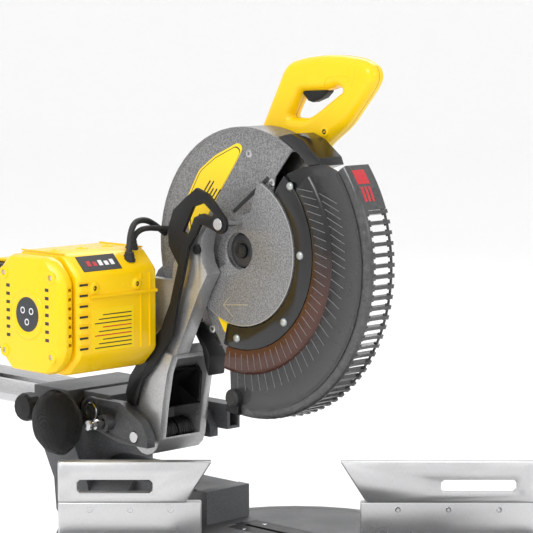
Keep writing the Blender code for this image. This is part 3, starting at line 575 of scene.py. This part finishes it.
def stickers():
    """Yellow films with generic bars, and a black film for the painted shade of a groove, on the near wall of the
    upper guard.
    """
    wall = GUARD_FACE
    upper = [(-111, 60), (-85, 102), (-54, 123), (-10, 142), (-1, 136), (-10, 121), (-43, 77),
             (-80, 24), (-103, 6)]
    outline_piece("upper_film", HEAD, "head", STICKER, [rounded(upper, 7)], wall, wall + 0.3)
    border = [tuple(Vector(p) * 0.93 + Vector((-55, 80)) * 0.07) for p in upper]
    inner = [tuple(Vector(p) * 0.905 + Vector((-55, 80)) * 0.095) for p in upper]
    outline_piece("upper_film_line", HEAD, "head", INK, [rounded(border, 6), rounded(inner, 6)],
                  wall + 0.25, wall + 0.45)
    dark = [(-94, 30), (-84, 44), (-74, 38), (-83, 23)]
    outline_piece("upper_film_tab", HEAD, "head", INK, [rounded(dark, 2)], wall + 0.25, wall + 0.5)
    along = Vector((42, 52)).normalized()
    across = Vector((-along.y, along.x))
    for k in range(5):
        foot = Vector((-66, 58)) + across * (5.5 * k - 6)
        size = 30 - 4 * (k % 3)
        bar = [foot, foot + along * size, foot + along * size + across * 2.2, foot + across * 2.2]
        outline_piece(f"upper_film_bar_{k}", HEAD, "head", INK, [[tuple(p) for p in bar]],
                      wall + 0.25, wall + 0.45)
    lower = [(-37, -25), (-18, -30), (-15, -45), (-20, -75), (-34, -115), (-53, -87), (-68, -59)]
    outline_piece("lower_film", HEAD, "head", STICKER, [rounded(lower, 6)], wall, wall + 0.3)
    for k in range(2):
        path = [(-46 + 7 * k + 3 * math.sin(i * 1.1), -44 - 5.5 * i, wall + 0.4) for i in range(9)]
        tube_piece(f"lower_film_line_{k}", HEAD, "head", INK, path, 0.45, 8)
    # Painted shade: a flat black film stands for the dark inside of the groove between the guard and the plate.
    groove = [(-22, 51), (-17, 48), (49, 96), (45, 101)]
    outline_piece("wall_groove", HEAD, "head", INK, [rounded(groove, 2)], wall, wall + 0.25)
    for k, (u, v) in enumerate(((10, 128), (-120, 30), (-60, -110), (52, 92))):
        turned_piece(f"wall_screw_{k}", HEAD, "head", STEEL, (u, v, wall), (0, 0, 1),
                     [(2.1, 0.2), (2.3, 0.7), (4.6, 0.7), (5.4, 0.3), (5.4, -0.2), (2.1, -0.2)], 36)
    for radius, start, end in ((160.5, 60, 192), (157.0, 62, 190)):
        bm = bmesh.new()
        add_sweep(bm, [(radius - 0.9, wall - 0.2), (radius - 0.5, wall + 0.5),
                       (radius + 0.5, wall + 0.5), (radius + 0.9, wall - 0.2)], start, end,
                  (0, 0), 72)
        finish_piece(f"wall_bead_{int(radius)}", bm, HEAD, "head", SILVER)


# ------------------------------------------------------------ handle, motor

def handle():
    """Round D-handle with a parting line, grip panel lines and seams, screws and ribs at its root."""
    outer = [(-35, 140), (18, 238), (29, 247), (54, 253), (89, 257), (124, 257), (158, 253),
             (176, 243), (180, 228), (171, 213), (129, 165), (90, 138), (69, 110), (9, 100)]
    hole = [(29, 174), (48, 206), (53, 209), (95, 211), (115, 217), (125, 212), (77, 182),
            (61, 174)]
    outlines = [rounded(outer, 12), rounded(hole, 7)]
    shell = outline_piece("handle_shell", HEAD, "head", YELLOW, outlines, -58, -28, 12, 7)
    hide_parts("main_handle")
    outline_piece("handle_parting", HEAD, "head", INK, outlines, -43.2, -42.8, grow=0.12)
    panel = [(94, 216), (97, 226), (106, 231), (138, 231), (149, 226), (152, 216)]
    tube_piece("grip_panel_line", HEAD, "head", YELLOW, [(*p, -28.1) for p in panel], 0.6, 8)
    for k, (u, lean) in enumerate(((64, -3), (144, 4))):
        seam = [(u, 218, -28.1), (u + lean, 228, -28.1), (u + lean, 242, -28.1)]
        tube_piece(f"grip_seam_{k}", HEAD, "head", YELLOW, seam, 0.45, 8)
    for k, (u, v) in enumerate(((10, 132), (96, 158))):
        turned_piece(f"handle_screw_well_{k}", HEAD, "head", YELLOW, (u, v, -28.4), (0, 0, 1),
                     [(3.4, 0.2), (3.6, 0.9), (5.4, 1.1), (6.6, 0.4), (6.6, -0.3), (3.4, -0.3)], 36)
        turned_piece(f"handle_screw_{k}", HEAD, "head", DARK_STEEL, (u, v, -28.4), (0, 0, 1),
                     [(1.4, 0.3), (1.6, 0.6), (3.0, 0.6), (3.4, 0.4), (3.4, -0.2), (1.4, -0.2)], 28)
    for k in range(4):
        v = 122 + 5 * k
        block_piece(f"handle_root_rib_{k}", HEAD, "head", YELLOW, (16, v, -29), (52, v + 1.6, -27.2),
                    0.4)


MOTOR_CENTRE = (-185, -82)
MOTOR_END = 240
MOTOR_HALF_DEPTH = 72


def motor():
    """Bosses, ribs, vents, screws and a generic label on the motor's shell."""
    cu, cv = MOTOR_CENTRE
    end = MOTOR_END
    turned_piece("motor_end_boss", HEAD, "head", YELLOW, (cu, cv, end), (0, 0, 1),
                 [(0, 0.4), (24, 0.4), (26, 1.6), (31, 1.8), (33.5, 0.6), (34, -0.5), (0, -0.5)], 64)
    turned_piece("motor_end_disc", HEAD, "head", LABEL, (cu, cv, end), (0, 0, 1),
                 [(0, 0.9), (22.5, 0.9), (23.2, 0.3), (23.2, 0.0), (0, 0.0)], 56)
    for k in range(3):
        turn = 2 * math.pi * k / 3 + 0.5
        centre = (cu + 10 * math.cos(turn), cv + 10 * math.sin(turn))
        outline_piece(f"motor_mark_{k}", HEAD, "head", WHITE, [circle(4.5, 28, centre),
                      circle(3.0, 28, centre)], end + 0.85, end + 1.1)
    for k, (u, v) in enumerate(((48, 52), (48, -52), (-48, 52), (-48, -52))):
        turned_piece(f"cover_boss_{k}", HEAD, "head", YELLOW, (cu + u, cv + v, end), (0, 0, 1),
                     [(3.6, -1.0), (3.8, 1.5), (6.5, 1.8), (8.6, 0.6), (9.0, -1.0)], 36)
        turned_piece(f"cover_screw_{k}", HEAD, "head", STEEL, (cu + u, cv + v, end), (0, 0, 1),
                     [(0, -0.4), (1.2, -0.4), (1.4, 0.7), (3.0, 0.7), (3.5, 0.1), (3.5, -1.0)], 28)
    for k in range(7):
        v = cv - 33 + 11 * k
        block_piece(f"end_vent_{k}", HEAD, "head", INK, (cu - 44, v, end - 0.4),
                    (cu - 36, v + 5, end + 0.15), 0.3)
        block_piece(f"end_vent_far_{k}", HEAD, "head", INK, (cu + 36, v, end - 0.4),
                    (cu + 44, v + 5, end + 0.15), 0.3)
    front = cu + MOTOR_HALF_DEPTH
    chamfer = HEAD @ Matrix.Translation(Vector((-126, -15, 170)) * MM)
    chamfer = chamfer @ Matrix.Rotation(math.radians(45), 4, "Z")
    block_piece("motor_panel", chamfer, "head", LABEL, (-0.6, -13, -36), (0.7, 13, 30), 0.3)
    for k in range(5):
        n = -28 + 10 * k
        block_piece(f"motor_panel_mark_{k}", chamfer, "head", WHITE if k < 3 else RED,
                    (0.6, -5, n), (0.95, 4 - 2 * (k % 2), n + 6.5), 0.1)
    block_piece("motor_plate", HEAD, "head", STICKER, (front - 0.3, cv - 48, 118),
                (front + 0.35, cv + 8, 190), 0.15)
    for row in range(9):
        block_piece(f"motor_plate_line_{row}", HEAD, "head", RED if row in (3, 5) else INK,
                    (front + 0.3, cv - 44 + 5.4 * row, 122),
                    (front + 0.5, cv - 42.6 + 5.4 * row, 186 - 7 * (row % 3)), 0.05)
    for k in range(7):
        v = cv - 44 + 14 * k
        block_piece(f"side_vent_{k}", HEAD, "head", INK, (front - 0.8, v, 197),
                    (front + 0.2, v + 3.6, 211), 0.3)
        block_piece(f"side_vent_hood_{k}", HEAD, "head", YELLOW, (front - 0.6, v + 3.4, 195),
                    (front + 2.2, v + 5.8, 213), 0.8)
    for k, n in enumerate((88, 104)):
        block_piece(f"motor_rib_{k}", HEAD, "head", YELLOW, (front - 0.5, cv - 50, n),
                    (front + 1.6, cv + 50, n + 3.4), 0.8)
    block_piece("motor_waist", HEAD, "head", YELLOW, (front - 1.0, cv + 22, 76),
                (front + 3.2, cv + 27, 194), 1.4)
    for k, n in enumerate((112, 186)):
        turned_piece(f"waist_boss_{k}", HEAD, "head", YELLOW, (front - 1, cv + 36, n), (1, 0, 0),
                     [(3.2, -0.5), (3.4, 3.2), (6.2, 3.4), (8.2, 2.0), (8.8, -0.5)], 32)
        turned_piece(f"waist_screw_{k}", HEAD, "head", DARK_STEEL, (front - 1, cv + 36, n),
                     (1, 0, 0), [(0, 0.4), (1.4, 0.4), (1.5, 1.6), (3.3, 1.4), (3.3, -0.5)], 24)
    for k, n in enumerate((76, 212)):
        block_piece(f"motor_top_rib_{k}", HEAD, "head", YELLOW, (cu - 44, cv + 79.5, n),
                    (cu + 44, cv + 81.6, n + 2.0), 0.5)
    for k, n in enumerate((100, 146, 192)):
        turned_piece(f"shell_boss_{k}", HEAD, "head", YELLOW, (cu, cv + 80, n), (0, 1, 0),
                     [(3.4, -0.5), (3.6, 1.6), (6.0, 1.8), (8.0, 0.5), (8.4, -0.5)], 32)
    points = [(-145, -1, 92), (-145, 12, 89), (-144, 21, 79), (-143, 23, 64), (-142, 21, 46),
              (-142, 19, 24.4)]
    cable = tube_piece("motor_lead", HEAD, "head", RUBBER, points, 3.9, 16)
    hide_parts("motor_cable")
    near = [(-128, -14, 112), (-130, 4, 110), (-138, 20, 100), (-148, 32, 84), (-150, 34, 64),
            (-152, 26, 44), (-152, 12, 24.6)]
    tube_piece("motor_lead_near", HEAD, "head", RUBBER, near, 4.2, 16)
    for index, (low, way) in enumerate((((-145, -2.5, 92), (0.05, 1, -0.1)),
                                        ((-128.5, -15.5, 112), (0.1, 1, -0.05)))):
        turned_piece(f"lead_grommet_{index}", HEAD, "head", RUBBER, low, way,
                     [(3.4, -2), (8.6, -2), (8.9, 2.0), (7.4, 3.0), (7.2, 6.5), (6.0, 7.4),
                      (5.9, 10.5), (4.9, 11.2), (3.4, 11.2)], 32)


def batteries():
    """Grip ribs, a yellow band and a charge window on both battery packs."""
    for index, n0 in ((1, 78), (2, 148)):
        body = BODY_OF[f"battery_{index}"]
        for k in range(6):
            v = -118 + 11 * k
            block_piece(f"pack_{index}_rib_{k}", HEAD, body, BLACK, (-323.6, v, n0 + 10),
                        (-322.2, v + 4, n0 + 56), 0.5)
        block_piece(f"pack_{index}_band", HEAD, body, STICKER, (-323.4, -44, n0 + 8),
                    (-322.6, -34, n0 + 58), 0.3)
        for k in range(3):
            block_piece(f"pack_{index}_lamp_{k}", HEAD, body, WHITE,
                        (-323.7, -41, n0 + 18 + 10 * k), (-323.2, -37, n0 + 23 + 10 * k), 0.15)


BAG_CENTRE = (-262, -250, 128)
BAG_RADII = (46, 46, 27)


def bag():
    """Soft dust bag: sewn halves with a piped seam and gathered folds."""
    centre = Vector(BAG_CENTRE)
    radii = Vector(BAG_RADII)
    bm = bmesh.new()
    bmesh.ops.create_icosphere(bm, subdivisions=6, radius=1.0)
    for vert in bm.verts:
        d = vert.co.normalized()
        turn = math.atan2(d.y, d.x)
        edge = 1 - abs(d.z)
        gather = 0.018 * math.sin(17 * turn + 2.2 * noise.noise(d * 2.0)) * edge ** 3
        sag = 0.03 * noise.noise(d * 2.4 + Vector((3, 1, 7)))
        fold = 0.022 * abs(noise.noise(Vector((d.x * 5, d.y * 2.2, d.z * 4)) + Vector((9, 2, 4))))
        size = 0.965 + gather + sag - fold
        vert.co = Vector([d[i] * radii[i] * size for i in range(3)]) * MM
        vert.co += centre * MM
    cloth = finish_piece("bag_cloth_shell", bm, HEAD, "carriage", BAG, 80)
    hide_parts("dust_bag")
    seam = []
    for i in range(72):
        turn = 2 * math.pi * i / 72
        wobble = 0.967 + 0.006 * math.sin(9 * turn)
        seam.append(centre + Vector((radii.x * wobble * math.cos(turn),
                                     radii.y * wobble * math.sin(turn), 0.8 * math.sin(5 * turn))))
    tube_piece("bag_piping", HEAD, "carriage", BAG, seam, 1.3, 8, closed=True)


# ------------------------------------------------------------- base, fences

def table_details():
    """Scale ticks, kerf plate screws, arm ribs, fence screws, bench bolts and wing ribs."""
    ticks = bmesh.new()
    for k in range(41):
        angle = -140 + 2.5 * k
        reach = 9 if k % 4 == 0 else 5
        add_bar(ticks, polar(210 - reach, angle), polar(210, angle), 0.7, 36.9, 37.2)
    finish_piece("miter_ticks", ticks, SAW, "base", WHITE)
    for k, y in enumerate((-310, -180, -50, 80)):
        for side in (-1, 1):
            turned_piece(f"kerf_screw_{k}_{'l' if side < 0 else 'r'}", TABLE, "turntable", STEEL,
                         (side * 20, y, 104.7), (0, 0, 1),
                         [(1.0, -0.5), (1.2, 0.15), (3.0, 0.2), (3.6, -0.1), (3.6, -0.5)], 24)
    for side, name in ((1, "near"), (-1, "far")):
        ribs = bmesh.new()
        for k in range(10):
            y = -325 + 7 * k
            add_bar(ribs, Vector((side * 48.1, y)), Vector((side * 48.1, y + 2)), 1.0, 66, 96)
        finish_piece(f"arm_ribs_{name}", ribs, TABLE, "turntable", GREY)
    for side, low, high in ((-1, -300, -140), (1, 100, 300)):
        body = BODY_OF["fence_left"]
        for k in range(3):
            x = low + (high - low) * (k + 0.5) / 3
            turned_piece(f"fence_bolt_{'l' if side < 0 else 'r'}_{k}", SAW, body, STEEL,
                         (x, 0.3, 140), (0, -1, 0),
                         [(1.6, -0.5), (1.8, 0.2), (3.6, 0.3), (4.2, -0.2), (4.2, -0.5)], 24)
    for side in (-1, 1):
        name = "l" if side < 0 else "r"
        for k in range(2):
            turned_piece(f"bench_bolt_{name}_{k}", SAW, "base", STEEL,
                         (side * (240 + 50 * k), 24, 104.7), (0, 0, 1),
                         [(3.0, -0.8), (3.3, 0.4), (6.5, 0.6), (8.0, 0.2), (8.4, -0.8)], 36)
        for k in range(5):
            x = side * (195 + 24 * k)
            block_piece(f"wing_rib_{name}_{k}", SAW, "base", GREY, (x - 1.2, -35.8, 34),
                        (x + 1.2, -34.6, 92), 0.4)


def bag_collar():
    """Rubber collar that ties the bag to the carriage's dust port."""
    turned_piece("bag_collar", HEAD, "carriage", RUBBER, (-262, -250, 88.4), (0, 0, 1),
                 [(0, 0), (13, 0), (13.4, 3), (11, 4), (11, 11), (14, 13.5), (15, 16), (0, 16)], 40)


ARM_PIVOT = (-148, -261)


def spring():
    """Closely wound black torsion spring in two halves."""
    centre = Vector((*ARM_PIVOT, 0))
    for half, (low, high, turns) in enumerate(((-3, 21, 6.5), (25, 49, 6.5))):
        path = []
        for i in range(int(turns * 20) + 1):
            t = i / (turns * 20)
            turn = 2 * math.pi * turns * t
            path.append(centre + Vector((17.9 * math.cos(turn), 17.9 * math.sin(turn),
                                         low + (high - low) * t)))
        tube_piece(f"spring_coil_{half}", HEAD, "head", DARK_STEEL, path, 1.55, 8)
    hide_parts("torsion_spring")


def arm_details():
    """Webs on the arm and a ring on the carriage ear."""
    for k in range(5):
        start = Vector((-112 - 9 * k, -128 - 17 * k))
        finish = start + Vector((-26, 17))
        across = Vector((finish - start)).normalized()
        side = Vector((-across.y, across.x)) * 1.1
        bar = [tuple(start + side), tuple(finish + side), tuple(finish - side), tuple(start - side)]
        outline_piece(f"arm_web_{k}", HEAD, "head", SILVER, [bar], 65.8, 67.2, 0.4)
    turned_piece("ear_ring", HEAD, "carriage", STEEL, (-237, -237, 88), (0, 0, 1),
                 [(9.0, -0.3), (9.2, 1.0), (12.4, 1.2), (13.2, 0.4), (13.4, -0.3)], 48)


# ------------------------------------------------------------ camera, light

def camera():
    data = bpy.data.cameras.new("camera")
    data.lens = 154
    data.sensor_width = 36
    data.clip_end = 50
    obj = bpy.data.objects.new("camera", data)
    bpy.context.scene.collection.objects.link(obj)
    obj.location = (-0.040, -2.950, 0.799)
    obj.rotation_euler = (math.radians(83.5), 0, 0)
    bpy.context.scene.camera = obj


def area_light(name, place, target, size, watts, colour=(1, 1, 1)):
    data = bpy.data.lights.new(name, "AREA")
    data.shape = "RECTANGLE"
    data.size = size[0]
    data.size_y = size[1]
    data.energy = watts
    data.color = colour
    obj = bpy.data.objects.new(name, data)
    bpy.context.scene.collection.objects.link(obj)
    obj.location = place
    way = Vector(target) - Vector(place)
    obj.rotation_euler = way.to_track_quat("-Z", "Y").to_euler()


def studio():
    """Wide pale floor that curves up far away, big soft lights and a bright world."""
    bm = bmesh.new()
    profile = [(9.0, 0.0)]
    profile += [(9 + 4 * math.sin(math.radians(a)), 4 - 4 * math.cos(math.radians(a)))
                for a in range(6, 91, 6)]
    profile += [(13.0, 9.0)]
    rings = []
    for reach, height in profile:
        rings.append([bm.verts.new((*polar(reach, 3.75 * i), height)) for i in range(96)])
    bm.faces.new(rings[0])
    for a, b in zip(rings, rings[1:]):
        for i in range(96):
            bm.faces.new((a[i], a[i - 1], b[i - 1], b[i]))
    paper = node_material("pale_floor", (0.985, 0.985, 0.985), 0.8, grain=60, speckle=0.004,
                          bump=0.02, patch=0.01)
    finish_piece("pale_floor", bm, SAW, None, paper)
    world = bpy.data.worlds.new("studio_world")
    bpy.context.scene.world = world
    world.use_nodes = True
    backdrop = world.node_tree.nodes["Background"]
    backdrop.inputs["Color"].default_value = (1.0, 1.0, 1.0, 1)
    backdrop.inputs["Strength"].default_value = 1.0
    area_light("key", (-1.6, -2.2, 2.4), (0, 0, 0.4), (1.2, 1.2), 46)
    area_light("fill", (2.2, -1.8, 1.6), (0, 0, 0.4), (1.2, 1.0), 12)
    area_light("rim", (0.4, 2.2, 2.6), (0, 0, 0.45), (1.8, 0.8), 24)


soften_all()
lower_guard()
hub_details()
stickers()
handle()
motor()
batteries()
bag()
bag_collar()
table_details()
arm_details()
spring()
camera()
studio()
bpy.context.scene.view_settings.view_transform = "Standard"
